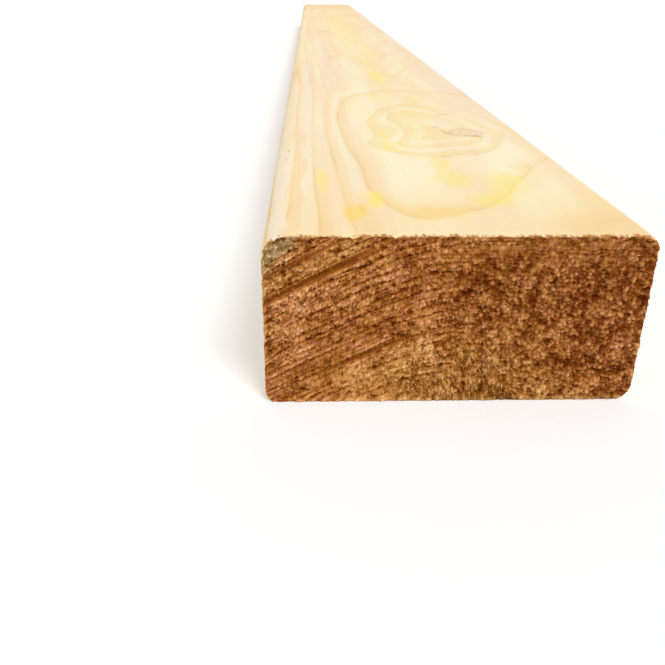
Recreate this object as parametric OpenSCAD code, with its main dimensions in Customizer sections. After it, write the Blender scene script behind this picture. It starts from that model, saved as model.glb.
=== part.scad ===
// Planed softwood plank with rounded arrises and square-sawn ends, lying on its wide face.
// The origin is the middle of the under face: X runs across the width, Y along the length, Z up.
// Left and right are as seen from the near end, looking along +Y.

/* [Section] */
// Width of the plank, between its two narrow edges
plank_width = 95; // [60:1:225]
// Thickness of the plank, between its two wide faces
plank_thickness = 45; // [22:1:75]

/* [Length] */
// Length of the plank, between its two sawn ends
plank_length = 1500; // [300:10:6000]

/* [Arrises] */
// Radius of the upper left arris, the widest because it was nearest the bark
upper_left_radius = 6; // [1:0.5:10]
// Radius of the upper right arris
upper_right_radius = 4; // [1:0.5:10]
// Radius of the lower right arris
lower_right_radius = 4.5; // [1:0.5:10]
// Radius of the lower left arris
lower_left_radius = 3; // [1:0.5:10]

/* [Hidden] */
// Sides of a full circle, for the rounding of the arrises
$fn = 96;
half_width = plank_width / 2;
// How far the rounding cut runs out past the faces of the square blank
cut_overrun = 1;

// What the planer takes off a square corner that stands at the origin, with the
// wood in the first quadrant: all of the corner outside a quarter round.
module arris_waste(radius) {
    difference() {
        translate([-cut_overrun, -cut_overrun])
            square(radius + cut_overrun);
        translate([radius, radius])
            circle(radius);
    }
}

// The planed section: X is across the plank, and Y is up from its under face.
// Each corner is turned to the place where its own rounding cut is made.
module section() {
    difference() {
        translate([-half_width, 0])
            square([plank_width, plank_thickness]);
        translate([-half_width, 0])
            arris_waste(lower_left_radius);
        translate([half_width, 0])
            rotate(90)
                arris_waste(lower_right_radius);
        translate([half_width, plank_thickness])
            rotate(180)
                arris_waste(upper_right_radius);
        translate([-half_width, plank_thickness])
            rotate(270)
                arris_waste(upper_left_radius);
    }
}

// The whole plank: its section carried along Y from one sawn end to the other.
module plank() {
    color("#f3d5a2")
        rotate([90, 0, 0])
            linear_extrude(height = plank_length, center = true)
                section();
}

plank();
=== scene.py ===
"""A planed softwood plank with rough-sawn ends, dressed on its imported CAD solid.

The wood is worked out in millimetres as one solid: x across the width from the middle, y along the length
from the near end, z up from the under face. Meshes are put into the frame in metres. Tints are display values
out of 255.
"""

import math
from collections import namedtuple

import bpy
import numpy as np
from mathutils import Matrix, Vector


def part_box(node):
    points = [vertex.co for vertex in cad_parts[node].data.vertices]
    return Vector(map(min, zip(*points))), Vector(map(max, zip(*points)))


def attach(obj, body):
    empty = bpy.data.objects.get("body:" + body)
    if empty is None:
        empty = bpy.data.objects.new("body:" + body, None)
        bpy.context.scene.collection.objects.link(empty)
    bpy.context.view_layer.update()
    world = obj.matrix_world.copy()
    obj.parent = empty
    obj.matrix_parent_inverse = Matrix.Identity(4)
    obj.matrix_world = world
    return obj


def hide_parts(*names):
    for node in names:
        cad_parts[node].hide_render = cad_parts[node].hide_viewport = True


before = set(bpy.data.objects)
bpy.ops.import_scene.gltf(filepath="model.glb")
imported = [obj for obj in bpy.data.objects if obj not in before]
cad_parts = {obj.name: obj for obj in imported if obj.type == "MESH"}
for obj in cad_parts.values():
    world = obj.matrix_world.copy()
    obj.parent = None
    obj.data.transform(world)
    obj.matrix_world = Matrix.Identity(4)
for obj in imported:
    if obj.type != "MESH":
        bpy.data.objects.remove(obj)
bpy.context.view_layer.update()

MM = 0.001
low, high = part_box("plank")
WIDTH, LENGTH, THICKNESS = (side / MM for side in high - low)
NEAR_END = low.y
HALF_WIDTH = WIDTH / 2

# Rounded arrises of the section: side of x, side of z, radius
ARRISES = ((-1, -1, 3.0), (1, -1, 4.5), (1, 1, 4.0), (-1, 1, 6.0))

# Growth rings at the near end: level on the right, bending down to a steady slope on the left
RING_WIDTH = 3.7
RING_SLOPE = 0.52
BEND_X = -8.0
BEND = 6.0

# Ring of the arch on the upper face, and how far the rings have risen deep in the plank
ARCH_RING = 39.6
EVEN_RISE = 11.3

# Further rise of the rings for each millimetre of length, from a place on
TAPER = 0.0108
TAPER_START = 200.0

# Place of the arch in its ring, from 0 to 1, which is where the late wood is darkest
LATE_PEAK = 0.9

# Arch at the near end of the upper face, the line behind it, and the widths of the rings after that
ARCH_FOOT = 15.0
INNER_X = 9.0
INNER_FOOT = 86.0
INNER_WIDTHS = (12.0, 12.0, 19.0)

# Loops about the first knot: their far side, its middle, the widths of the rings in from it, and their heart
LOOPS_END = 230.0
LOOPS_X = 8.0
LOOP_WIDTHS = (38.0, 21.0, 36.0)
BURL_X = 11.0
BURL_Y = 120.0

# Scallops down the left side of the loops
SCALLOP_X = -8.0
SCALLOP_Y = 102.0
SCALLOP_PITCH = 50.0
SCALLOP_DEPTH = 2.8
SCALLOP_RING = 6.2

# Second arch beyond the loops, and the widths of the rings in it
SECOND_X = 14.0
SECOND_FOOT = 306.0
SECOND_WIDTHS = (55.0, 120.0, 160.0)

# Pith line that the branches grow from, below the plank
PITH_X = 10.0
PITH_Z = -11.0

# Branches: x, z and y where each one comes out of the wood, and its radius there
KNOTS = (
    (24.7, 45.0, 126.0, 7.4),
    (-47.5, 21.0, 402.0, 5.0),
    (-21.0, 45.0, 690.0, 6.0),
    (47.5, 16.0, 873.0, 5.5),
    (31.0, 45.0, 1065.0, 8.0),
    (-8.0, 45.0, 1336.0, 5.0),
)
BRANCH_RISE = 0.22
LEAST_SHARE = 0.12

# Torn wood of the sawn ends: size of the crumbs, and pitch of their rows, ridges and furrows
CRUMB = 1.08
ROW_PITCH = 0.9
RIDGE_PITCH = 1.55
FURROW_PITCH = 2.1
LEVEL_FURROW_PITCH = 0.9

# Splits along two rings on the left of a sawn end: ring, width, and where they run across
UPPER_SPLIT = 46.9
UPPER_SPLIT_WIDTH = 2.4
UPPER_SPLIT_END = -22.0
LOWER_SPLIT = 20.5
LOWER_SPLIT_WIDTH = 1.4
LOWER_SPLIT_RUN = (-32.0, -8.0)

# Crack just below the upper split, and a dark ring above it
CRACK = 46.1
CRACK_WIDTH = 0.24
CRACK_FALL = 0.16
CRACK_RUN = (-29.0, -21.0)
DARK_RING = 54.4
DARK_RING_WIDTH = 0.6
DARK_RING_END = -26.0

# Greyed upper left corner of a sawn end: how far it reaches across and down
GREY_ACROSS = 9.8
GREY_DOWN = 11.4

# Plain level of a sawn end: depth below the saw's plane, and tone
PLAIN_DEPTH = 0.68
PLAIN_TONE = 0.605

# Reach of the wear and the shallower relief in from the rim of a sawn end
RIM_REACH = 1.2

# Broad darker and lighter patches of a sawn end: x, z, half sizes, change of tone
PATCHES = (
    (8, 34, 8, 5, -0.2),
    (29, 29, 7, 4, -0.18),
    (30, 11, 7, 4, -0.13),
    (38, 32, 6, 6, -0.1),
    (37, 21, 7, 4, -0.12),
    (11, 22, 6, 5, -0.16),
    (12, 4, 6, 4, -0.12),
    (12, 42, 10, 2.5, -0.06),
    (45, 33, 4, 8, -0.12),
    (-9, 14, 7, 4, 0.23),
    (-43, 16, 8, 8, 0.06),
    (-26, 4, 9, 3, -0.08),
    (-38, 29, 9, 9, 0.15),
    (-24, 11, 9, 4, 0.09),
    (-12, 41, 5, 3, 0.06),
    (28, 41, 4, 3, 0.08),
    (-26, 41, 16, 3, 0.08),
    (25, 16, 6, 3, 0.1),
    (24, 4, 8, 3, 0.1),
    (4, 29, 4, 3, -0.14),
    (-12, 23, 5, 3, -0.1),
    (44, 11, 4, 4, -0.14),
)

# Values that the points of a sawn end carry: tone, and the share of each tint
END_VALUES = ("tone", "orange", "red", "gold", "grey")

# Tints of a sawn end over brown, each from dark pits to pale peaks, and the tones they stand at. Their darks
# and pales carry painted shade and painted light as well as the wood's own colour
END_TONES = (0.0, 0.32, 0.55, 0.82, 1.0)
END_TINTS = {
    "brown": ((92, 36, 0), (138, 78, 26), (179, 116, 60), (218, 158, 104), (236, 194, 142)),
    "orange": ((98, 38, 0), (144, 78, 16), (183, 115, 50), (220, 156, 96), (238, 192, 136)),
    "red": ((84, 28, 0), (126, 62, 22), (166, 102, 58), (211, 148, 104), (232, 188, 146)),
    "gold": ((94, 44, 0), (142, 87, 30), (183, 127, 62), (218, 167, 100), (238, 201, 138)),
    "grey": ((78, 52, 16), (126, 99, 52), (168, 139, 90), (210, 183, 136), (230, 210, 170)),
}

# Late wood across a ring: place in the ring, share. The broad kind is for the loops
LATE_WOOD = ((0.0, 0.2), (0.14, 0), (0.5, 0.08), (0.76, 0.5), (0.93, 1), (0.965, 0.25))
BROAD_LATE_WOOD = ((0.0, 0.1), (0.34, 0), (0.5, 0.75), (0.93, 1), (0.965, 0.2))

# Planed wood: the two tints of early wood, and what late wood and a ring's edge turn a tint into
EARLY_TINTS = ((253, 241, 206), (251, 228, 190))
LATE_CHANGE = ((252, 234, 198), (248, 217, 156))
RING_EDGE_CHANGE = ((250, 222, 170), (230, 198, 143))
PALE_STREAK = (250, 240, 215)
WARM_STREAK = (250, 224, 190)
RIGHT_SIDE_TINT = (242, 222, 208)
PALE_RING_TINT = (251, 241, 210)
GOLDEN_TINT = (254, 234, 160)
FIBRE_TINT = (206, 150, 92)
STAIN_TINT = (188, 130, 74)

# Knots: the two tints of the heart, the rings in it and the rim
HEART_TINTS = ((249, 221, 186), (240, 203, 162))
KNOT_RING_TINT = (226, 180, 136)
KNOT_RIM_TINT = (190, 142, 104)

# Broad tints of the planed wood that rise along the length: start, end, strength, tint
LONG_TINTS = (
    (60, 0, 0.4, (250, 218, 158)),
    (160, 420, 0.3, (248, 217, 182)),
    (420, 1100, 0.32, (248, 217, 166)),
    (1120, 1420, 0.4, (247, 208, 158)),
)

# Spots on the upper face: a tint, then x, y, half sizes and strength of each spot
PLAIN = (250, 230, 196), (
    (34, 185, 12, 42, 0.75),
    (-18, 446, 7, 30, 0.75),
    (22, 160, 6, 14, 0.4),
    (27, 236, 10, 12, 0.6),
    (-1, 240, 4, 7, 0.4),
    (39, 68, 8, 22, 0.6),
)
RESIN = (252, 232, 126), (
    (-18.7, 31, 3.5, 9, 0.9),
    (-7.5, 102, 4.0, 10, 0.55),
    (-8.5, 124, 2.4, 16, 0.4),
    (7.5, 54, 6.5, 12, 0.62),
    (6, 73, 3.5, 12, 0.5),
    (14.5, 31, 8, 7, 0.58),
    (22, 48, 7, 15, 0.5),
    (-32, 53, 2.0, 20, 0.65),
    (-2, 217, 6, 24, 0.3),
    (-10.5, 175, 3.6, 16, 0.3),
    (4.5, 295, 6, 40, 0.5),
    (11, 470, 4, 70, 0.4),
    (5, 138, 9, 34, 0.22),
    (4, 360, 10, 130, 0.16),
    (1, 800, 20, 400, 0.26),
)
RESIN_IN_RINGS = (253, 230, 140), (
    (-7, 105, 6, 18, 0.6),
    (19, 44, 14, 20, 0.5),
    (8, 176, 9, 14, 0.35),
)
AMBER = (252, 217, 122), (
    (-23.5, 19.5, 4.2, 7, 0.9),
    (13.5, 206, 5.5, 18, 0.5),
    (-3, 20, 9, 5, 0.6),
    (33, 66, 5, 14, 0.3),
)
AMBER_IN_RINGS = (252, 216, 150), (
    (-2, 20, 16, 12, 0.8),
    (-12, 30, 5, 12, 0.6),
)
PALE_WOOD_AND_HIGHLIGHT = (250, 236, 212), (
    (-36, 150, 8.5, 115, 0.42),
    # Painted highlight: a pale band along the rounded left arris by the near end, where it faces the light
    (-44, 30, 2.6, 62, 0.85),
    (20, 146, 8, 9, 0.4),
)
PEACH = (249, 213, 160), (
    (38, 5, 14, 16, 0.65),
    (-39.2, 70, 2.4, 95, 0.5),
    (-44.5, 330, 3.4, 330, 0.4),
    (16, 180, 24, 95, 0.2),
    (42, 55, 5, 70, 0.3),
    (30, 50, 5, 11, 0.25),
)
ROSY = (246, 219, 204), (
    (-25, 335, 6, 150, 0.35),
    (38, 205, 11, 85, 0.3),
    (-36, 330, 5, 190, 0.2),
)
BLUSH = (251, 212, 186), (
    (28.2, 126, 4.6, 5.6, 0.75),
    (33, 112, 5, 8, 0.3),
    (-23.5, 335, 3.4, 110, 0.3),
)
MARKS = (158, 120, 86), (
    (14, 136.5, 2.8, 1.5, 0.45),
    (22, 168, 2.1, 1.7, 0.55),
    (-45.2, 80, 0.9, 2.0, 0.7),
    (-43.2, 94, 0.8, 1.6, 0.5),
    (17.6, 127, 1.3, 5, 0.35),
    (26, 118.6, 5, 1.5, 0.4),
    (24, 133.6, 4, 1.0, 0.25),
)

# Mesh of the skin: cells of the near end, and the loops along the length
CELLS_X = 320
CELLS_Z = 152
FINE_LENGTH = 200
FINE_STRIDE = 4
COARSE_STRIDE = 8
FIRST_STATION = 4.2
WIDEST_SPACING = 13

# Torn splinters: share on the upper rim, depth of the root, and points in one
RIM_SHARE = 0.16
ROOT_DEPTH = 0.08
SPLINTER_POINTS = 7

# Camera: place from the middle of the near end's foot, in metres, its turn, and its lens
CAMERA_FROM_END = Vector((-0.03557, -0.16393, 0.09947))
CAMERA_YAW = math.radians(1.834)
CAMERA_PITCH = math.radians(25.822)
CAMERA_ROLL = math.radians(-0.484)
CAMERA_LENS = 39.96
CAMERA_SENSOR = 36.0

# Stage: floor size in metres, the share of its brightness that shadows can take away, and the sky's strength
FLOOR_SIZE = 12.0
FLOOR_WHITE = (250, 250, 250)
FLOOR_SHARE = 0.7
FLOOR_LEVEL = 1.01
SKY_LEVEL = 0.42

# Lamps: name, strength, spread in degrees, where the light comes from
LAMPS = (
    ("key", 2.15, 22.0, (0.32, -0.66, 0.87)),
    ("fill", 0.62, 60.0, (-0.9, -0.2, 0.3)),
)

# Random values on a lattice, and how far each layer of noise is moved along it
LATTICE_SIZE = 256
LATTICE = np.random.default_rng(20).random((LATTICE_SIZE, LATTICE_SIZE))
LAYER_I = 37
LAYER_J = 91

# Sawn ends: layer of noise, stride of the cells, count of splinters, and the loops of the rim, each with its
# distance in from the saw's plane, its stride and its share of the wear
SawnEnd = namedtuple("SawnEnd", "name far layer stride splinters rim")
NEAR_RIM = ((0.3, 1, 0.65), (0.7, 1, 0.35), (1.2, 1, 0.18), (1.9, 2, 0.05), (2.9, 2, 0.0))
FAR_RIM = ((3.2, 4, 0.0), (2.0, 2, 0.05), (1.2, 2, 0.2), (0.5, 2, 0.55))
NEAR = SawnEnd("near", far=False, layer=10, stride=1, splinters=9000, rim=NEAR_RIM)
FAR = SawnEnd("far", far=True, layer=40, stride=2, splinters=4000, rim=FAR_RIM)


def add_object(name, data):
    """A new object in the scene, at the origin."""
    made = bpy.data.objects.new(name, data)
    bpy.context.scene.collection.objects.link(made)
    return made


def add_camera():
    """Looks along the plank and down, set by yaw to the right, pitch down and roll."""
    right = Vector((math.cos(CAMERA_YAW), -math.sin(CAMERA_YAW), 0))
    level = Vector((math.sin(CAMERA_YAW), math.cos(CAMERA_YAW), 0))
    ahead = level * math.cos(CAMERA_PITCH) - Vector((0, 0, math.sin(CAMERA_PITCH)))
    down = ahead.cross(right)
    rolled_right = right * math.cos(CAMERA_ROLL) + down * math.sin(CAMERA_ROLL)
    rolled_down = down * math.cos(CAMERA_ROLL) - right * math.sin(CAMERA_ROLL)
    camera = add_object("camera", bpy.data.cameras.new("camera"))
    camera.data.sensor_width = CAMERA_SENSOR
    camera.data.lens = CAMERA_LENS
    camera.data.clip_start = 0.01
    turn = Matrix((rolled_right, -rolled_down, -ahead)).transposed().to_4x4()
    camera.matrix_world = Matrix.Translation(Vector((0, NEAR_END, 0)) + CAMERA_FROM_END) @ turn
    bpy.context.scene.camera = camera


# Noise and soft shapes


def noise(u, v, layer):
    """Random values on a unit lattice, blended between its points by a smoothstep, from 0 to 1."""
    i = np.floor(u).astype(int)
    j = np.floor(v).astype(int)
    a = (u - i) ** 2 * (3 - 2 * (u - i))
    b = (v - j) ** 2 * (3 - 2 * (v - j))
    i = i + LAYER_I * layer
    j = j + LAYER_J * layer

    def at(di, dj):
        return LATTICE[(i + di) % LATTICE_SIZE, (j + dj) % LATTICE_SIZE]

    near = at(0, 0) * (1 - a) + at(1, 0) * a
    far = at(0, 1) * (1 - a) + at(1, 1) * a
    return near * (1 - b) + far * b


def sway(u, v, layer):
    """Smooth noise about 0, from -0.5 to 0.5."""
    return noise(u, v, layer) - 0.5


def step_up(value, middle, spread):
    """A smooth step from 0 to 1 that passes one half at middle."""
    return 1 / (1 + np.exp((middle - value) / spread))


def window(value, start, end, spread):
    """Near 1 between start and end, falling softly to 0 outside."""
    return step_up(value, start, spread) * step_up(-value, -end, spread)


def hump(u, v=0.0):
    """A bell: 1 in the middle, falling as the exponential of minus the squared distance."""
    return np.exp(-(u**2) - v**2)


def softest(a, b, softness):
    """The smaller of two values, rounded off where they meet."""
    return -softness * np.logaddexp(-a / softness, -b / softness)


# Wood as a solid: rings and knots


def ring_level(x, z):
    """Height at which the ring through a point of the near end runs level, on the right of its bend."""
    return z + RING_SLOPE * BEND * np.logaddexp(0, (BEND_X - x) / BEND)


def knot_places(x, y, z, knots):
    """Yields each knot's distance across and along the stem from its axis, and its radius there.

    A branch is a cone: its axis runs from the pith to the knot's place, rising as it goes out.
    """
    for knot_x, knot_z, knot_y, radius in knots:
        axis_x = knot_x - PITH_X
        axis_z = knot_z - PITH_Z
        reach = math.hypot(axis_x, axis_z)
        share = ((x - PITH_X) * axis_x + (z - PITH_Z) * axis_z) / reach**2
        across = ((x - PITH_X) * axis_z - (z - PITH_Z) * axis_x) / reach
        along = y - knot_y + BRANCH_RISE * reach * (1 - share)
        yield across, along, radius * np.maximum(share, LEAST_SHARE)


def knot_ratio(x, y, z):
    """Distance from the nearest knot's axis over its radius: 0 at its heart, 1 at its rim, 4 at most."""
    ratios = [np.hypot(across, along) / radius for across, along, radius in knot_places(x, y, z, KNOTS)]
    return np.minimum(np.min(ratios, axis=0), 4.0)


def rings_in(start, first, second, others):
    """Rings passed since a start: one of the first width, one of the second, then more of one width."""
    passed = np.minimum(start / first, 1)
    passed = passed + np.clip((start - first) / second, 0, 1)
    return passed + np.maximum((start - first - second) / others, 0)


def rings_from_left(x, y):
    """Rings passed from the left: as the rings of the near end come out, then past a scalloped line."""
    straight = (ARCH_RING + EVEN_RISE - ring_level(x, THICKNESS)) / RING_WIDTH
    past = y - SCALLOP_Y
    scalloped = SCALLOP_X - SCALLOP_DEPTH * np.cos(2 * math.pi * past / SCALLOP_PITCH)
    scalloped = scalloped + 0.05 * np.clip(past, 0, 48)
    return np.maximum(straight, 1 + (x - scalloped) / SCALLOP_RING)


def rings_from_arch(x, y):
    """Rings passed from the arch at the near end: one to the line behind it, then rings of set widths.

    The arms of the arch sweep back by powers of the distance from its foot. The line behind is a parabola,
    and the count rises as a cube between the two.
    """
    right = np.maximum(x, 0)
    left = np.clip(-2 - x, 0, 20)
    arch = ARCH_FOOT + 0.95 * right + 0.016 * right**2 + 0.045 * left**2 + 0.0008 * left**3
    behind = INNER_FOOT + np.where(x < INNER_X, 0.026, 0.035) * (x - INNER_X) ** 2
    behind = np.maximum(behind, arch + 12)
    outside = np.maximum(arch - y, 0)
    inside = np.clip((y - arch) / (behind - arch), 0, 1)
    passed = 0.5 + 0.5 * (2 * inside - 1) ** 3 + rings_in(np.maximum(y - behind, 0), *INNER_WIDTHS)
    return passed - 0.45 * (1 - np.exp(-outside / 12)) - 0.01 * outside


def rings_from_far_side(x, y):
    """Rings passed back from the far side of the loops, whose inner lines are rounded by a parabola."""
    off_middle = (x - LOOPS_X) ** 2
    back = LOOPS_END + 0.25 * x - 0.012 * off_middle - y
    rounding = 0.078 * off_middle * np.clip((back - 8) / 30, 0, 1)
    back = back - np.where(x < LOOPS_X, np.minimum(rounding, 0.5 * np.maximum(back, 0)), rounding)
    return np.where(back < 0, np.maximum(0.03 * back, -0.75), rings_in(back, *LOOP_WIDTHS))


def rings_from_right(x, y):
    """Rings passed from the right, the fewest beside the knot."""
    return np.maximum(2 + (28 - x) / 7 + ((y - 135) / 40) ** 2, 1.5)


def rings_of_second_arch(x, y):
    """Rings passed into the arch beyond the loops, whose two arms run back straight from a rounded foot."""
    arms = -softest(-3.8 * (x - SECOND_X), -7 * (SECOND_X - x), 14.0)
    into = y - SECOND_FOOT - arms
    return np.where(into < 0, into / 40, rings_in(into, *SECOND_WIDTHS))


def upper_rings(x, y):
    """Rings counted inwards from the arch on the upper face, 0 on the arch itself.

    The least count from the arch, the far side and the right gives the nested loops about the first knot.
    The second arch takes over where its count is more, and the left where its count is less.
    """
    loops = softest(rings_from_arch(x, y), rings_from_far_side(x, y), 0.2)
    loops = softest(loops, rings_from_right(x, y), 0.2)
    inner = -softest(-loops, -rings_of_second_arch(x, y), 0.06)
    return softest(rings_from_left(x, y), inner, 0.18)


def curled(x, y):
    """Places on the upper face moved by noise, as wild grain is: little on the left, more elsewhere."""
    wild = step_up(x, -22, 2.5)
    moved_x = x + (1 + 3 * wild) * sway(x / 13, y / 24, 5)
    moved_x = moved_x + 4 * hump((x + 4) / 12, (y - 180) / 42) * sway(x / 10, y / 13, 9)
    moved_x = moved_x + 6 * hump((x + 21) / 9, (y - 145) / 70)
    moved_y = y + 9 * wild * (0.3 + 0.7 * step_up(y, 70, 12)) * sway(x / 12, y / 30, 6)
    moved_y = moved_y + 22 * wild * hump((y - 214) / 24) * sway(x / 6, y / 40, 8)
    return moved_x, moved_y


def growth(x, y, z):
    """Level of the ring through a point, in millimetres of height at the near end: equal values are one ring.

    The level at the near end, less how far the rings have risen. Deep in the plank the rise is even. Under
    the upper face it follows the rings counted there, and the rings swell round the knots.
    """
    taper = TAPER * np.maximum(y - TAPER_START, 0)
    on_top = ring_level(x, THICKNESS) - ARCH_RING + RING_WIDTH * upper_rings(*curled(x, y)) + taper
    for across, along, radius in knot_places(x, y, z, KNOTS[1:]):
        on_top = on_top + 0.8 * radius * hump(across / (2 * radius), along / (3.2 * radius))
    under_top = step_up(z, 30, 4)
    in_burl = hump((x - BURL_X) / 30, (y - BURL_Y) / 110)
    drift = (1.1 - 0.9 * in_burl) * sway((x + 0.7 * z) / 11, y / 80, 3)
    drift = drift + 0.3 * in_burl * sway(x / 7, y / 17, 7)
    return ring_level(x, z) - on_top * under_top - (EVEN_RISE + taper) * (1 - under_top) + drift


# Section and rim of the plank


def along_plank(end, depth):
    """Place along the plank at a depth below the saw's plane of an end."""
    return LENGTH - depth if end.far else depth


def rim_distances(x, z):
    """Distances from the left, right, lower and upper rim of the plain rectangle."""
    return x + HALF_WIDTH, HALF_WIDTH - x, z, THICKNESS - z


def rounded_section(x, z):
    """Carries the plain rectangle into the section: in each corner, square rings become quarter circles."""
    for side_x, side_z, radius in ARRISES:
        centre_x = side_x * (HALF_WIDTH - radius)
        centre_z = THICKNESS - radius if side_z > 0 else radius
        a = np.maximum(side_x * (x - centre_x), 0)
        b = np.maximum(side_z * (z - centre_z), 0)
        inside = (a > 0) & (b > 0)
        steep = np.where(b > a, 2 - a / np.maximum(b, 1e-9), b / np.maximum(a, 1e-9))
        reach = np.maximum(a, b)
        x = np.where(inside, centre_x + side_x * reach * np.cos(steep * math.pi / 4), x)
        z = np.where(inside, centre_z + side_z * reach * np.sin(steep * math.pi / 4), z)
    return x, z


def notches(place, fine_run, broad_pitch, layer, broad_layer):
    """Fine notches in broad bites along an edge: two noises multiplied, from 0 to 1."""
    fine = noise(place / 0.4, place / fine_run, layer)
    return fine * noise(place / broad_pitch, place / 9, broad_layer)


def worn(x, z, amount, layer):
    """Draws the rectangle in at the rim of a sawn end, by a ragged amount that dies away inwards."""
    ragged_x = 0.28 + 0.8 * notches(x, 3, 1.5, layer, layer + 2)
    ragged_z = 0.06 + 0.9 * notches(z, 3, 1.5, layer + 1, layer + 3)
    ragged_left = ragged_z + 0.2 * step_up(z, 17, 4)
    left, right, below, above = (np.exp(-distance / RIM_REACH) for distance in rim_distances(x, z))
    x_in = ragged_left * left - ragged_z * right
    z_in = 0.4 * ragged_x * below - ragged_x * above
    return x + amount * x_in, z + amount * z_in


def stain(x, z, distance, layer):
    """Share of brown torn wood on the planed faces at a distance from the rim: in ragged tongues."""
    reach = 0.1 + 2.2 * notches(x + z, 7, 1.8, layer + 4, layer + 5)
    return np.clip((reach - distance) / 0.4 + 0.3, 0, 1)


# Sawn ends


def crumbs(u, v, layer):
    """Cells about jittered points of a unit lattice.

    Gives the distance to the nearest point, how much further the second one is, and the cell's own value.
    """
    i = np.floor(u).astype(int)
    j = np.floor(v).astype(int)
    nearest = np.full(u.shape, 9.0)
    second = nearest
    picked = np.zeros(u.shape)
    for di in (-1, 0, 1):
        for dj in (-1, 0, 1):
            a = (i + di + LAYER_I * layer) % LATTICE_SIZE
            b = (j + dj + LAYER_J * layer) % LATTICE_SIZE
            away_u = u - i - di - 0.1 - 0.8 * LATTICE[a, b]
            away_v = v - j - dj - 0.1 - 0.8 * LATTICE[b, a]
            away = np.hypot(away_u, away_v)
            closer = away < nearest
            second = np.where(closer, nearest, np.minimum(second, away))
            picked = np.where(closer, LATTICE[(a + 101) % LATTICE_SIZE, (b + 57) % LATTICE_SIZE], picked)
            nearest = np.where(closer, away, nearest)
    return nearest, second - nearest, picked


def crumb_height(u, v, layer):
    """Height of crumbs: each at its own level, domed, with a crevice round it."""
    nearest, gap, picked = crumbs(u, v, layer)
    return 0.66 * (picked - 0.5) + 0.45 * (0.42 - nearest) - 0.26 * (1 - np.clip(gap / 0.3, 0, 1))


def ring_heading(x):
    """Angle of the rings on a sawn end, up to the right."""
    return np.arctan(RING_SLOPE * step_up(-x, -BEND_X, BEND))


def left_share(x):
    """Share of a sawn end that is torn along the rings: all on the left, none on the right."""
    return step_up(-x, 2, 5)


def hanging_share(x, z):
    """Share of loose strands that hang down: most of them low in the middle."""
    return hump((x - 2) / 15, (z - 5) / 14)


def below_split(x, rings):
    """Share of the golden wood that lies below the lower split."""
    return step_up(-rings, -LOWER_SPLIT, 0.3) * window(x, *LOWER_SPLIT_RUN, 3)


def lumps(x, z, layer):
    """Broad lumps of a sawn end, from -0.5 to 0.5."""
    return sway(x / 3.2, z / 2.6, layer + 4)


def furrows(place, x, pitch, layer):
    """Long dark lines at a pitch, each fading in and out along its length, from 0 to 1."""
    index = np.floor(place / pitch)
    across = place - (index + 0.5) * pitch
    strength = np.clip(1.9 * noise(x / 13, index * 3.3, layer) - 0.25, 0, 1)
    return hump(across / (0.13 * pitch)) * strength


def ridges(place, x, layer):
    """Long round ridges at a pitch, a cosine across, each fading in and out along its length."""
    index = np.floor(place / RIDGE_PITCH)
    strength = np.clip(1.6 * noise(x / 8, index * 3.7, layer) - 0.2, 0, 1)
    return strength * np.cos(2 * math.pi * (place / RIDGE_PITCH - index - 0.5))


def split_groove(rings, edge, width):
    """A round groove of a width above a ring: 1 along its middle, 0 at both edges."""
    across = np.clip((rings - edge) / width, 0, 1)
    return np.sin(math.pi * across) ** 0.7


def torn_height(x, z, layer):
    """Height of the torn wood of a sawn end about its plain level, without the splits.

    Each place has one kind of crumb: rows along the rings on the left, some drawn out to ropes, strands low
    in the middle, loose crumbs elsewhere. Lumps, pits, ridges low on the left and long furrows are added.
    """
    rings = ring_level(x, z)
    lumped = lumps(x, z, layer)
    mixed = noise(x / 1.6, z / 1.4, layer + 10)
    bent = rings + 0.8 * sway(x / 8, rings / 5, layer + 6)
    shaken_x = x + 0.8 * sway(x / 1.9, z / 1.9, layer + 8)
    shaken_z = z + 0.8 * sway(x / 1.9, z / 1.9, layer + 9)
    slanted_x = x + 0.25 * z + 4.5 * sway(x / 6, z / 6, layer + 20)

    rows = crumb_height(1.4 * x / CRUMB, bent / ROW_PITCH, layer)
    ropes = crumb_height(0.5 * x / CRUMB, bent / ROW_PITCH, layer + 17)
    roped = (rings > LOWER_SPLIT - 8 * mixed) | (x < -30)
    roped = roped & (rings < 24 + 12 * mixed) & (x < -18)
    rows = np.where(roped, 0.45 * ropes + 0.7 * rows, rows)
    rows = rows + 0.3 * sway(x / 6, np.floor(bent / ROW_PITCH) * 7.3, layer + 11)
    loose = 1.1 * crumb_height(shaken_x / CRUMB, shaken_z / CRUMB, layer + 1)
    loose = loose + 0.4 * crumb_height(shaken_x / (2.1 * CRUMB), shaken_z / (1.9 * CRUMB), layer + 12)
    strands = crumb_height(slanted_x / (0.75 * CRUMB), z / (2.2 * CRUMB), layer + 2)
    hangs = 1.3 * hanging_share(x, z) > 0.25 + mixed
    height = np.where(hangs, 1.1 * strands + 0.3 * loose, loose)
    height = np.where(left_share(x) > mixed, 0.95 * rows + 0.3 * loose, height)

    pits = np.clip((noise(shaken_x / 1.4, shaken_z / 1.2, layer + 18) - 0.74) / 0.12, 0, 1)
    low_left = step_up(-rings, -31, 3) * step_up(-x, 14, 4)
    ridged = 0.36 * low_left * (1 - 0.75 * below_split(x, rings))
    height = height * (1 - 0.25 * low_left) + ridged * ridges(bent, x, layer + 19)
    height = height + 0.5 * lumped - 0.45 * pits
    level_rows = window(x, 1, 42, 4) * step_up(z, 36.5, 1)
    lines = (1 - 0.6 * low_left) * left_share(x) * furrows(bent, x, FURROW_PITCH, layer + 3)
    lines = lines + 0.7 * level_rows * furrows(z + 0.9 * lumped, x, LEVEL_FURROW_PITCH, layer + 5)
    return height * (1 - 0.4 * level_rows) - 0.57 * lines


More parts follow.
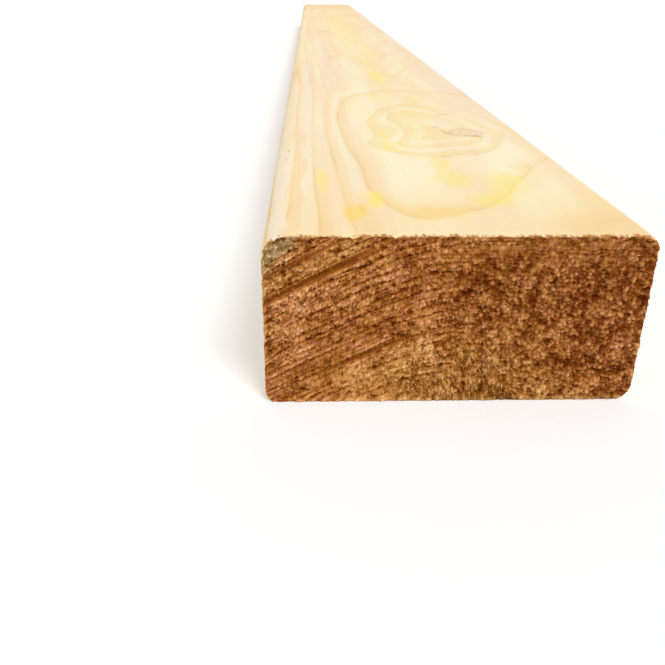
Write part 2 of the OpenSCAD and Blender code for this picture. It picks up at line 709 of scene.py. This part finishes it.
def end_splits(x, rings):
    """Shares of the two splits, the crack, the dark ring and the raised edge under the upper split, which is
    painted pale as a highlight.
    """
    on_upper = step_up(-x, -UPPER_SPLIT_END, 1.2)
    upper = split_groove(rings, UPPER_SPLIT, UPPER_SPLIT_WIDTH) * on_upper
    lower = split_groove(rings, LOWER_SPLIT, LOWER_SPLIT_WIDTH) * window(x, *LOWER_SPLIT_RUN, 1.5)
    crack_line = CRACK - CRACK_FALL * (x - CRACK_RUN[0])
    crack = hump((rings - crack_line) / CRACK_WIDTH) * window(x, *CRACK_RUN, 0.5)
    dark = hump((rings - DARK_RING) / DARK_RING_WIDTH) * step_up(-x, -DARK_RING_END, 2)
    lit_lip = hump((rings - UPPER_SPLIT + 0.35) / 0.26) * on_upper
    return np.clip(upper + lower, 0, 1), crack, dark, lit_lip


def greyed_corner(x, z, layer):
    """Share of weathered grey in the upper left corner, up to a slanting line."""
    from_corner = (x + HALF_WIDTH) / GREY_ACROSS + (THICKNESS - z) / GREY_DOWN + 0.25 * lumps(x, z, layer)
    return 0.88 * step_up(-from_corner, -1, 0.07)


def end_shares(x, z, dark, layer):
    """Shares of the tints of a sawn end, each spread broadly and then scattered crumb by crumb.

    Orange is on the left, red on the right and in the dark ring, gold low in the middle and along a band of
    rings, grey in the upper left corner and on the lower rim.
    """
    rings = ring_level(x, z)
    khaki = hump((x - 4) / 23, (z - 3) / 11.5)
    gold_band = window(rings, 49.5, 53.7, 0.5) * step_up(-x, 20, 3)
    gold = np.clip(0.4 * gold_band + 0.7 * khaki + 0.4 * below_split(x, rings), 0, 1)
    red = 0.75 * step_up(x, 10, 7) * step_up(-z, -40, 2) * noise(x / 6, z / 5, layer + 7)
    red = red + 0.2 * window(rings, 20, 46.5, 1) * left_share(x)
    red = np.clip(red + 0.7 * dark - khaki, 0, 1)
    hue = noise(x / 0.8, z / 0.7, layer + 15) + 0.5 * noise(x / 2.4, z / 2, layer + 16) - 0.75
    hue = hue - 0.04 * left_share(x)
    gold = np.clip(gold + 0.75 * np.clip(hue / 0.3 - 0.25, 0, 1), 0, 1)
    red = np.clip(red + 0.75 * np.clip(-hue / 0.3 - 0.25, 0, 1), 0, 1)
    grey_rim = 0.55 * step_up(-z, -0.9, 0.2) * step_up(x, -12, 3)
    grey_share = np.maximum(greyed_corner(x, z, layer), grey_rim)
    return {"orange": 0.85 * left_share(x), "red": red, "gold": gold, "grey": grey_share}


def sawn_face(x, z, layer):
    """Depth below the saw's plane, and the tone from dark pit to pale peak and tint shares of a sawn end.

    Depth and tone follow the height of the torn wood, smoothed in the splits and the dark ring, and a part of
    each split. So the tone carries painted shade, darker in pits, crevices, the splits and the crack, and
    painted light, paler on peaks and on the raised edge under the upper split, over the wood's own brown.
    Broad patches and pale specks are added to the tone.
    """
    rings = ring_level(x, z)
    # The splits and the crack are both cut into the depth and painted darker in tone, as painted shade in
    # them
    split, crack, dark, lit_lip = end_splits(x, rings)
    smoothed = np.clip(1.8 * split + 1.1 * dark, 0, 1)
    height = torn_height(x, z, layer) * (1 - 0.92 * smoothed)
    depth = PLAIN_DEPTH - 0.92 * height + 0.78 * split + 0.7 * crack + 0.25 * dark - 0.1 * lit_lip

    patches = 0.1 * sway(x / 5, z / 4, layer + 13)
    for patch_x, patch_z, across, up, change in PATCHES:
        patches = patches + change * hump((x - patch_x) / across, (z - patch_z) / up)
    specks = noise(x / 0.7, z / 0.6, layer + 14) > 0.955
    # Painted shade and light: darker in the splits, the crack and the pits and crevices that height lowers,
    # paler on peaks and on the raised edge under the upper split
    tone = PLAIN_TONE + 0.575 * height - 0.52 * split - 0.6 * crack - 0.36 * dark + 0.14 * lit_lip + patches
    tone = tone + 0.06 * below_split(x, rings) - 0.08 * step_up(x, 8, 6) + 0.25 * specks
    tone = 0.5 + (tone - 0.5) * (1 - 0.25 * greyed_corner(x, z, layer))
    return np.maximum(depth, 0), {"tone": np.clip(tone, 0, 1), **end_shares(x, z, dark, layer)}


# Plank mesh


def rim_loop(cells_x, cells_z):
    """Grid columns and rows of the points round a cell grid's edge, from the lower left, anticlockwise."""
    along_x = np.arange(cells_x)
    along_z = np.arange(cells_z)
    columns = (along_x, np.full(cells_z, cells_x), cells_x - along_x, np.zeros(cells_z, int))
    rows = (np.zeros(cells_x, int), along_z, np.full(cells_x, cells_z), cells_z - along_z)
    return np.concatenate(columns), np.concatenate(rows)


def band_faces(near, far):
    """Faces between two closed loops of points, where one may have twice the points of the other."""
    near_next = np.roll(near, -1)
    far_next = np.roll(far, -1)
    if len(near) == len(far):
        corners = ((near, far, far_next, near_next),)
    elif len(near) > len(far):
        middle = near[1::2]
        ahead = near_next[1::2]
        corners = ((near[::2], far, middle), (middle, far, far_next), (middle, far_next, ahead))
    else:
        middle = far[1::2]
        ahead = far_next[1::2]
        corners = ((near, far[::2], middle), (near, middle, near_next), (near_next, middle, ahead))
    return [np.stack(face, 1) for face in corners]


def station_places():
    """Distances of the loops along the length: close by the near end and the knots, wider elsewhere.

    The density of loops is summed along the length, and loops stand where the sum passes even steps.
    """
    y = np.linspace(FIRST_STATION, LENGTH - FIRST_STATION, 4000)
    density = 1 / WIDEST_SPACING + 0.26 * step_up(-y, -FINE_LENGTH, 12)
    for _, _, knot_y, radius in KNOTS:
        density = density + 0.22 * hump((y - knot_y) / (1.5 * radius))
    passed = np.concatenate(([0], np.cumsum(density[:-1] * np.diff(y))))
    return np.interp(np.linspace(0, passed[-1], int(passed[-1])), passed, y)


class Skin:
    """The skin of the plank as it grows: points, the values they carry, and faces."""

    def __init__(self):
        self.points = []
        self.values = {key: [] for key in (*END_VALUES, "stain")}
        self.faces = []
        self.count = 0
        self.last_loop = None

    def add_points(self, x, y, z, **carried):
        """Adds an array of points with the values they carry, and gives their numbers in the same shape."""
        start = self.count
        self.count += x.size
        self.points.append(np.stack((x, y, z), -1).reshape(-1, 3))
        for key, parts in self.values.items():
            parts.append(np.broadcast_to(carried.get(key, 0.0), x.shape).ravel())
        return np.arange(start, self.count).reshape(x.shape)

    def add_end(self, end):
        """Adds a sawn end as a grid of cells pressed in by its depth. Gives its rim and the depth there."""
        cells_x = CELLS_X // end.stride
        cells_z = CELLS_Z // end.stride
        across = np.linspace(-HALF_WIDTH, HALF_WIDTH, cells_x + 1)
        up = np.linspace(0, THICKNESS, cells_z + 1)
        flat_x, flat_z = np.meshgrid(across, up)
        x, z = rounded_section(*worn(flat_x, flat_z, 1.0, end.layer))
        depth, ends = sawn_face(x, z, end.layer)
        from_rim = np.min(rim_distances(flat_x, flat_z), axis=0)
        depth = depth * (0.3 + 0.7 * np.clip(from_rim / RIM_REACH, 0, 1))
        grid = self.add_points(x, along_plank(end, depth), z, stain=1.0, **ends)
        corners = (grid[:-1, :-1], grid[:-1, 1:], grid[1:, 1:], grid[1:, :-1])
        cells = np.stack(corners, -1).reshape(-1, 4)
        self.faces.append(cells[:, ::-1] if end.far else cells)
        columns, rows = rim_loop(cells_x, cells_z)
        return grid[rows, columns], depth[rows, columns]

    def join_loop(self, loop):
        """Joins a loop of points to the last one."""
        self.faces.extend(band_faces(self.last_loop, loop))
        self.last_loop = loop

    def add_rim(self, end, rim_x, rim_z, depth):
        """Adds the worn loops between a sawn end and the planed faces."""
        for distance, stride, wear in end.rim:
            x, z = rounded_section(*worn(rim_x[::stride], rim_z[::stride], wear, end.layer))
            y = along_plank(end, distance + wear * depth[:: stride // end.stride])
            self.join_loop(self.add_points(x, y, z, stain=stain(x, z, distance, end.layer)))


def plank_mesh():
    """Points, faces, point values and sawn faces of the skin: two ends joined by loops round the section."""
    skin = Skin()
    skin.last_loop, near_depth = skin.add_end(NEAR)
    far_loop, far_depth = skin.add_end(FAR)
    sawn_count = sum(len(cells) for cells in skin.faces)

    columns, rows = rim_loop(CELLS_X, CELLS_Z)
    rim_x = -HALF_WIDTH + columns * WIDTH / CELLS_X
    rim_z = rows * THICKNESS / CELLS_Z
    skin.add_rim(NEAR, rim_x, rim_z, near_depth)
    for place in station_places():
        stride = FINE_STRIDE if place < FINE_LENGTH else COARSE_STRIDE
        x, z = rounded_section(rim_x[::stride], rim_z[::stride])
        skin.join_loop(skin.add_points(x, np.full(x.shape, place), z))
    skin.add_rim(FAR, rim_x, rim_z, far_depth)
    skin.join_loop(far_loop)

    sawn = np.arange(sum(len(part) for part in skin.faces)) < sawn_count
    values = {key: np.concatenate(parts) for key, parts in skin.values.items()}
    return np.concatenate(skin.points), skin.faces, values, sawn


def torn_fibres(end):
    """Tapered splinters on a sawn end, each a three-sided spike: two rings of three points and a tip.

    They lie near the face: along the rings on the left, hanging low in the middle, any way elsewhere, and
    standing up from the upper rim.
    """
    pick = np.random.default_rng(end.layer)
    count = end.splinters
    on_rim = pick.random(count) < RIM_SHARE
    flat_x = (pick.random(count) ** np.where(on_rim, 1.0, 1.5) - 0.5) * (WIDTH - 0.8)
    rim_z = THICKNESS - pick.uniform(0.1, 1.4, count)
    face_z = pick.uniform(0.4, THICKNESS - 0.4, count)
    x, z = rounded_section(*worn(flat_x, np.where(on_rim, rim_z, face_z), 1.0, end.layer))
    depth, ends = sawn_face(x, z, end.layer)

    chance = pick.random(count)
    hangs = chance < 0.85 * hanging_share(x, z)
    follows = chance > 1 - 0.6 * step_up(-x, 4, 4)
    turned = math.pi * (pick.random(count) < 0.5)
    upright = math.pi / 2
    heading = pick.uniform(-math.pi, math.pi, count)
    heading = np.where(follows, ring_heading(x) + pick.normal(0, 0.35, count) + turned, heading)
    heading = np.where(hangs, 0.15 - upright + pick.normal(0, 0.75, count), heading)
    heading = np.where(on_rim, upright + pick.normal(0, 0.4, count), heading)
    lift = np.where(on_rim, pick.uniform(0, 0.3, count), pick.uniform(0.1, 0.75, count))
    length = pick.uniform(0.4, 1.1, count) + hangs * pick.uniform(0.2, 1.2, count)
    width = pick.uniform(0.08, 0.2, count)

    outward = 1 if end.far else -1
    lying = np.cos(lift)
    ahead = np.stack((np.cos(heading) * lying, outward * np.sin(lift), np.sin(heading) * lying), 1)
    across = np.stack((-np.sin(heading), np.zeros(count), np.cos(heading)), 1)
    over = np.cross(ahead, across)
    turn = np.arange(3) * 2 * math.pi / 3
    around = across[:, None] * np.cos(turn)[None, :, None] + over[:, None] * np.sin(turn)[None, :, None]
    root = np.stack((x, along_plank(end, depth + ROOT_DEPTH), z), 1)
    foot = root[:, None] + around * width[:, None, None]
    halfway = root + ahead * (0.55 * length)[:, None]
    waist = halfway[:, None] + around * (0.75 * width)[:, None, None]
    sag = np.stack((np.zeros(count), np.full(count, outward * 0.08), -0.1 * length), 1)
    tip = root + ahead * length[:, None] + sag
    points = np.concatenate((foot, waist, tip[:, None]), 1)
    points = np.clip(points, (-HALF_WIDTH, 0, 0), (HALF_WIDTH, LENGTH, THICKNESS)).reshape(-1, 3)

    start = SPLINTER_POINTS * np.arange(count)[:, None, None]
    sides = start + np.array(((0, 1, 4, 3), (1, 2, 5, 4), (2, 0, 3, 5)))
    spikes = start + np.array(((3, 4, 6), (4, 5, 6), (5, 3, 6), (2, 1, 0)))
    pale = 0.22 * (pick.random(count) < 0.3)
    ends["tone"] = np.clip(0.28 + 0.4 * ends["tone"] + pale + pick.normal(0, 0.12, count), 0.1, 0.92)
    values = {key: np.repeat(value, SPLINTER_POINTS) for key, value in ends.items()}
    return points, [sides.reshape(-1, 4), spikes.reshape(-1, 3)], values


def add_piece(name, points, faces, values, materials):
    """A smooth-shaded piece with float values on its points, put into the frame in metres."""
    mesh = bpy.data.meshes.new(name)
    metres = (points + np.array([0, NEAR_END / MM, 0])) * MM
    mesh.from_pydata(metres.tolist(), [], [face for part in faces for face in part.tolist()])
    for key, array in values.items():
        mesh.attributes.new(key, "FLOAT", "POINT").data.foreach_set("value", np.asarray(array, np.float32))
    for material in materials:
        mesh.materials.append(material)
    mesh.polygons.foreach_set("use_smooth", np.ones(len(mesh.polygons), bool))
    mesh.update()
    piece = add_object(name, mesh)
    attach(piece, "root")
    return piece


# Materials


def colour(red, green, blue):
    """Linear colour with alpha, from display values out of 255."""
    shown = np.array([red, green, blue]) / 255
    linear = np.where(shown <= 0.04045, shown / 12.92, ((shown + 0.055) / 1.055) ** 2.4)
    return (*linear.tolist(), 1.0)


def darkening(plain, darker):
    """Colour that turns plain into darker when the two are multiplied, from display values."""
    return tuple(b / a for a, b in zip(colour(*plain), colour(*darker)))


def grey(level):
    """Linear grey with alpha."""
    return (level, level, level, 1.0)


class Nodes:
    """The nodes of a material or of the world: each method adds some and returns an output socket."""

    def __init__(self, tree):
        self.tree = tree

    def join(self, value, socket):
        """Links an output to a socket, or sets the socket to a plain value."""
        if isinstance(value, bpy.types.NodeSocket):
            self.tree.links.new(value, socket)
        else:
            socket.default_value = value

    def node(self, kind, inputs=None, output=0, **settings):
        """One node with its inputs joined and its settings set."""
        made = self.tree.nodes.new("ShaderNode" + kind)
        for key, value in settings.items():
            setattr(made, key, value)
        for key, value in (inputs or {}).items():
            self.join(value, made.inputs[key])
        return made.outputs[output]

    def math(self, operation, a, b=0.0):
        """One step of arithmetic on two values."""
        return self.node("Math", {0: a, 1: b}, operation=operation)

    def times(self, first, *others):
        """All the values multiplied together."""
        for other in others:
            first = self.math("MULTIPLY", first, other)
        return first

    def seen(self):
        """1 for what the camera sees, straight or by way of gloss or glass, and 0 for other light."""
        share = self.node("LightPath", output="Is Camera Ray")
        for ray in ("Is Glossy Ray", "Is Transmission Ray"):
            share = self.math("MAXIMUM", share, self.node("LightPath", output=ray))
        return share


class Finish(Nodes):
    """A material with its nodes, and the base colour that its tints are laid on."""

    def __init__(self, name, roughness, gloss):
        self.material = bpy.data.materials.new(name)
        self.material.use_nodes = True
        super().__init__(self.material.node_tree)
        self.shader = self.tree.nodes["Principled BSDF"].inputs
        self.shader["Roughness"].default_value = roughness
        self.shader["Specular IOR Level"].default_value = gloss
        self.base = None

    def mix(self, share, a, b, blend="MIX"):
        """Colour a where the share is 0, and b, or both blended, where it is 1."""
        return self.node("Mix", {0: share, 6: a, 7: b}, 2, data_type="RGBA", blend_type=blend)

    def lay(self, tint, *shares):
        """Mixes a tint into the base colour by the product of the shares."""
        self.base = self.mix(self.times(*shares), self.base, colour(*tint))

    def darken(self, change, *shares):
        """Multiplies the base colour by what turns one tint into another, by the product of the shares."""
        self.base = self.mix(self.times(*shares), self.base, darkening(*change), "MULTIPLY")

    def value(self, name):
        """A value carried by the points of the mesh."""
        return self.node("Attribute", output="Fac", attribute_name=name)

    def ramp(self, share, stops):
        """Colour read off stops, each a place from 0 to 1 and its colour or level, in straight lines."""
        made = self.tree.nodes.new("ShaderNodeValToRGB")
        elements = made.color_ramp.elements
        while len(elements) < len(stops):
            elements.new(0.5)
        for element, (place, shade) in zip(elements, stops):
            element.position = place
            element.color = shade if isinstance(shade, tuple) else grey(shade)
        self.join(share, made.inputs[0])
        return made.outputs[0]

    def between(self, value, start, end):
        """A smoothstep from 0 at start to 1 at end."""
        return self.node("MapRange", {0: value, 1: start, 2: end}, interpolation_type="SMOOTHSTEP")

    def vector(self, operation, a, b=(0, 0, 0), output=0):
        """One step of vector arithmetic on two places."""
        return self.node("VectorMath", {0: a, 1: b}, output, operation=operation)

    def place(self):
        """Place in the frame."""
        return self.node("TexCoord", output="Object")

    def noise(self, across, along, detail=2.0, roughness=0.5, output=0):
        """Smooth noise with so many waves to a metre across the plank, and so many along it."""
        where = self.node("Mapping", {"Vector": self.place(), "Scale": (across, along, across)})
        inputs = {"Vector": where, "Scale": 1.0, "Detail": detail, "Roughness": roughness}
        return self.node("TexNoise", inputs, output)

    def centred(self, value, swing):
        """A value from 0 to 1 moved to swing about 0."""
        return self.times(self.math("SUBTRACT", value, 0.5), swing)

    def frayed_place(self):
        """Place in the frame, shaken a little so that spots fray."""
        shake = self.noise(220, 45, 3.0, output="Color")
        shake = self.vector("SUBTRACT", shake, (0.5, 0.5, 0.5))
        shake = self.vector("MULTIPLY", shake, (0.009, 0.016, 0.009))
        return self.vector("ADD", self.place(), shake)

    def spot(self, place, x, y, across, along, strength):
        """A soft oval spot on the upper face, by the distance from its middle over its half sizes."""
        away = self.vector("SUBTRACT", place, (x * MM, NEAR_END + y * MM, THICKNESS * MM))
        away = self.vector("MULTIPLY", away, (1 / across / MM, 1 / along / MM, 1 / across / MM))
        reach = self.vector("LENGTH", away, output="Value")
        return self.times(self.between(reach, 1.25, 0.3), strength)

    def lay_spots(self, place, kind, *within):
        """Lays every spot of a kind, each within a share if one is given."""
        tint, sizes = kind
        for size in sizes:
            self.lay(tint, self.spot(place, *size), *within)

    def along(self, start, end, axis="Y", origin=NEAR_END):
        """Rises from 0 to 1 between two distances from the near end, or from an origin on another axis."""
        distance = self.node("SeparateXYZ", {0: self.place()}, axis)
        return self.between(distance, origin + start * MM, origin + end * MM)

    def across(self, start, end):
        """Rises from 0 to 1 between two distances across the width."""
        return self.along(start, end, "X", 0.0)

    def finished(self, relief, strength, depth):
        """The material with its base colour, and a fine relief of a depth in millimetres."""
        inputs = {"Strength": strength, "Distance": depth * MM, "Height": relief}
        self.join(self.node("Bump", inputs), self.shader["Normal"])
        self.join(self.base, self.shader["Base Color"])
        return self.material


def early_wood(f):
    """Ground colour of the planed faces: two tints in broad waves, streaks on the left and tints along."""
    f.base = f.mix(f.between(f.noise(60, 7), 0.35, 0.65), *(colour(*tint) for tint in EARLY_TINTS))
    streak = f.noise(210, 3)
    on_left = f.times(f.across(-10, -24), 0.6)
    f.lay(PALE_STREAK, f.between(streak, 0.54, 0.64), on_left)
    f.lay(WARM_STREAK, f.between(streak, 0.46, 0.36), on_left)
    f.lay(RIGHT_SIDE_TINT, f.across(24, 38), f.along(150, 260), 0.35)
    for start, end, strength, tint in LONG_TINTS:
        f.lay(tint, f.along(start, end), strength)


def knot_tints(f):
    """Knots, by distance over radius: a warm heart with rings in it and a broken rim."""
    knot = f.value("knot")
    heart = f.mix(f.noise(420, 420, 3), *(colour(*tint) for tint in HEART_TINTS))
    f.base = f.mix(f.times(f.between(knot, 1.02, 0.8), 0.65), f.base, heart)
    in_ring = f.math("FRACT", f.math("ADD", f.times(knot, 3.0), f.noise(160, 160)))
    f.lay(KNOT_RING_TINT, f.between(in_ring, 0.5, 0.95), f.between(knot, 1.0, 0.85), 0.3)
    rim = f.times(f.between(knot, 0.8, 0.97), f.between(knot, 1.16, 1.02))
    broken = f.between(f.noise(150, 150), 0.36, 0.62)
    f.lay(KNOT_RIM_TINT, rim, broken, 0.4)


def planed_softwood():
    """Pale planed faces: soft rings, yellow and pink tints, resin, knots, small marks, fine fibre and a
    painted highlight on the left arris.

    The growth level over the ring width counts the rings, and its fraction is the place in a ring.
    """
    f = Finish("planed_softwood", roughness=0.7, gloss=0.1)
    rings = f.math("ADD", f.value("growth"), f.centred(f.noise(120, 18, 3), 0.8))
    ring = f.math("DIVIDE", f.math("SUBTRACT", rings, ARCH_RING), RING_WIDTH)
    ring = f.math("ADD", ring, LATE_PEAK)
    in_ring = f.math("FRACT", ring)
    in_loops = f.times(f.between(ring, 0.0, -0.15), f.along(240, 210))
    late = f.mix(in_loops, f.ramp(in_ring, LATE_WOOD), f.ramp(in_ring, BROAD_LATE_WOOD))
    chance = f.node("TexWhiteNoise", {"W": f.math("FLOOR", ring)}, noise_dimensions="1D")
    strength = f.math("ADD", f.times(chance, 0.4), 0.55)
    on_top = f.along(42, 44, "Z", 0.0)
    faint = f.times(f.along(160, 640), f.along(1400, 1100), on_top, 0.62)
    clear = f.math("SUBTRACT", 1.0, faint)

    early_wood(f)
    f.darken(LATE_CHANGE, late, strength, clear)
    edge = f.times(f.between(in_ring, 0.86, 0.93), f.between(in_ring, 0.97, 0.945))
    uneven = f.between(f.noise(90, 14), 0.35, 0.7)
    f.darken(RING_EDGE_CHANGE, edge, uneven, clear, 0.6)

    frayed = f.frayed_place()
    f.lay_spots(frayed, PLAIN)
    pale_ring = f.times(f.between(ring, 1.0, 1.12), f.between(ring, 1.55, 1.3))
    pale_run = f.times(f.along(300, 230), f.along(18, 50), f.across(4, -8))
    f.lay(PALE_RING_TINT, pale_ring, pale_run, 0.55)
    golden = f.between(f.noise(75, 11), 0.5, 0.72)
    f.lay(GOLDEN_TINT, golden, f.between(in_ring, 0.3, 0.75), 0.25)
    f.lay_spots(frayed, RESIN)
    f.lay_spots(frayed, RESIN_IN_RINGS, f.between(in_ring, 0.25, 0.8))
    f.lay_spots(frayed, AMBER)
    f.lay_spots(frayed, AMBER_IN_RINGS, late)
    fibre = f.noise(1500, 30, 3, 0.6)
    f.lay(FIBRE_TINT, f.between(fibre, 0.4, 0.8), 0.05)
    knot_tints(f)
    for kind in (PALE_WOOD_AND_HIGHLIGHT, PEACH, ROSY, BLUSH, MARKS):
        f.lay_spots(frayed, kind)
    f.lay(STAIN_TINT, f.value("stain"))
    return f.finished(fibre, 0.35, 0.05)


def sawn_end():
    """Rough brown end grain: dark pits and tan torn peaks, partly painted shade and painted light, in redder,
    golden and greyed parts.

    The tone, with a little noise, is read off each tint's own ramp, and the tints are mixed by their shares.
    """
    f = Finish("sawn_end", roughness=0.85, gloss=0.05)
    fine = f.noise(2600, 2600, 3, 0.6)
    tone = f.math("ADD", f.value("tone"), f.centred(fine, 0.16))
    tone = f.math("ADD", tone, f.centred(f.noise(120, 120), 0.1))
    for name, tints in END_TINTS.items():
        shade = f.ramp(tone, list(zip(END_TONES, (colour(*tint) for tint in tints))))
        f.base = shade if name == "brown" else f.mix(f.value(name), f.base, shade)
    return f.finished(fine, 0.35, 0.2)


# Stage


def add_floor():
    """White floor: what is seen of it is part lit, so that it keeps the plank's shadow, and part glowing."""
    half = FLOOR_SIZE / 2
    corners = [(-half, -half, 0), (half, -half, 0), (half, half, 0), (-half, half, 0)]
    mesh = bpy.data.meshes.new("floor")
    mesh.from_pydata(corners, [], [(0, 1, 2, 3)])
    floor = add_object("floor", mesh)
    f = Finish("floor_white", roughness=0.9, gloss=0.0)
    seen = f.seen()
    f.join(f.mix(seen, colour(*FLOOR_WHITE), grey(FLOOR_SHARE)), f.shader["Base Color"])
    f.join(f.times(seen, FLOOR_LEVEL - FLOOR_SHARE), f.shader["Emission Strength"])
    f.shader["Emission Color"].default_value = grey(1)
    mesh.materials.append(f.material)


def add_sky():
    """Even sky, white where it is seen and dimmer as a light."""
    world = bpy.data.worlds.new("studio")
    world.use_nodes = True
    bpy.context.scene.world = world
    sky = Nodes(world.node_tree)
    background = sky.tree.nodes["Background"].inputs
    background["Color"].default_value = grey(1)
    level = sky.node("MapRange", {0: sky.seen(), 3: SKY_LEVEL, 4: 1.0})
    sky.join(level, background["Strength"])


def add_lamps():
    """A soft key light from the front right and a weak, wide fill from the left."""
    for name, strength, spread, source in LAMPS:
        light = bpy.data.lights.new(name, "SUN")
        light.energy = strength
        light.angle = math.radians(spread)
        lamp = add_object(name, light)
        lamp.rotation_mode = "QUATERNION"
        lamp.rotation_quaternion = Vector(source).to_track_quat("Z", "Y")


bpy.context.scene.view_settings.view_transform = "Standard"
add_camera()
add_floor()
add_sky()
add_lamps()

skin_points, skin_faces, skin_values, skin_sawn = plank_mesh()
skin_values["growth"] = growth(*skin_points.T)
skin_values["knot"] = knot_ratio(*skin_points.T)
plank = add_piece("planed_plank", skin_points, skin_faces, skin_values, (planed_softwood(), sawn_end()))
plank.data.polygons.foreach_set("material_index", skin_sawn.astype(np.int32))
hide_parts("plank")

for sawn in (NEAR, FAR):
    add_piece(f"torn_fibres_{sawn.name}", *torn_fibres(sawn), plank.data.materials[1:])
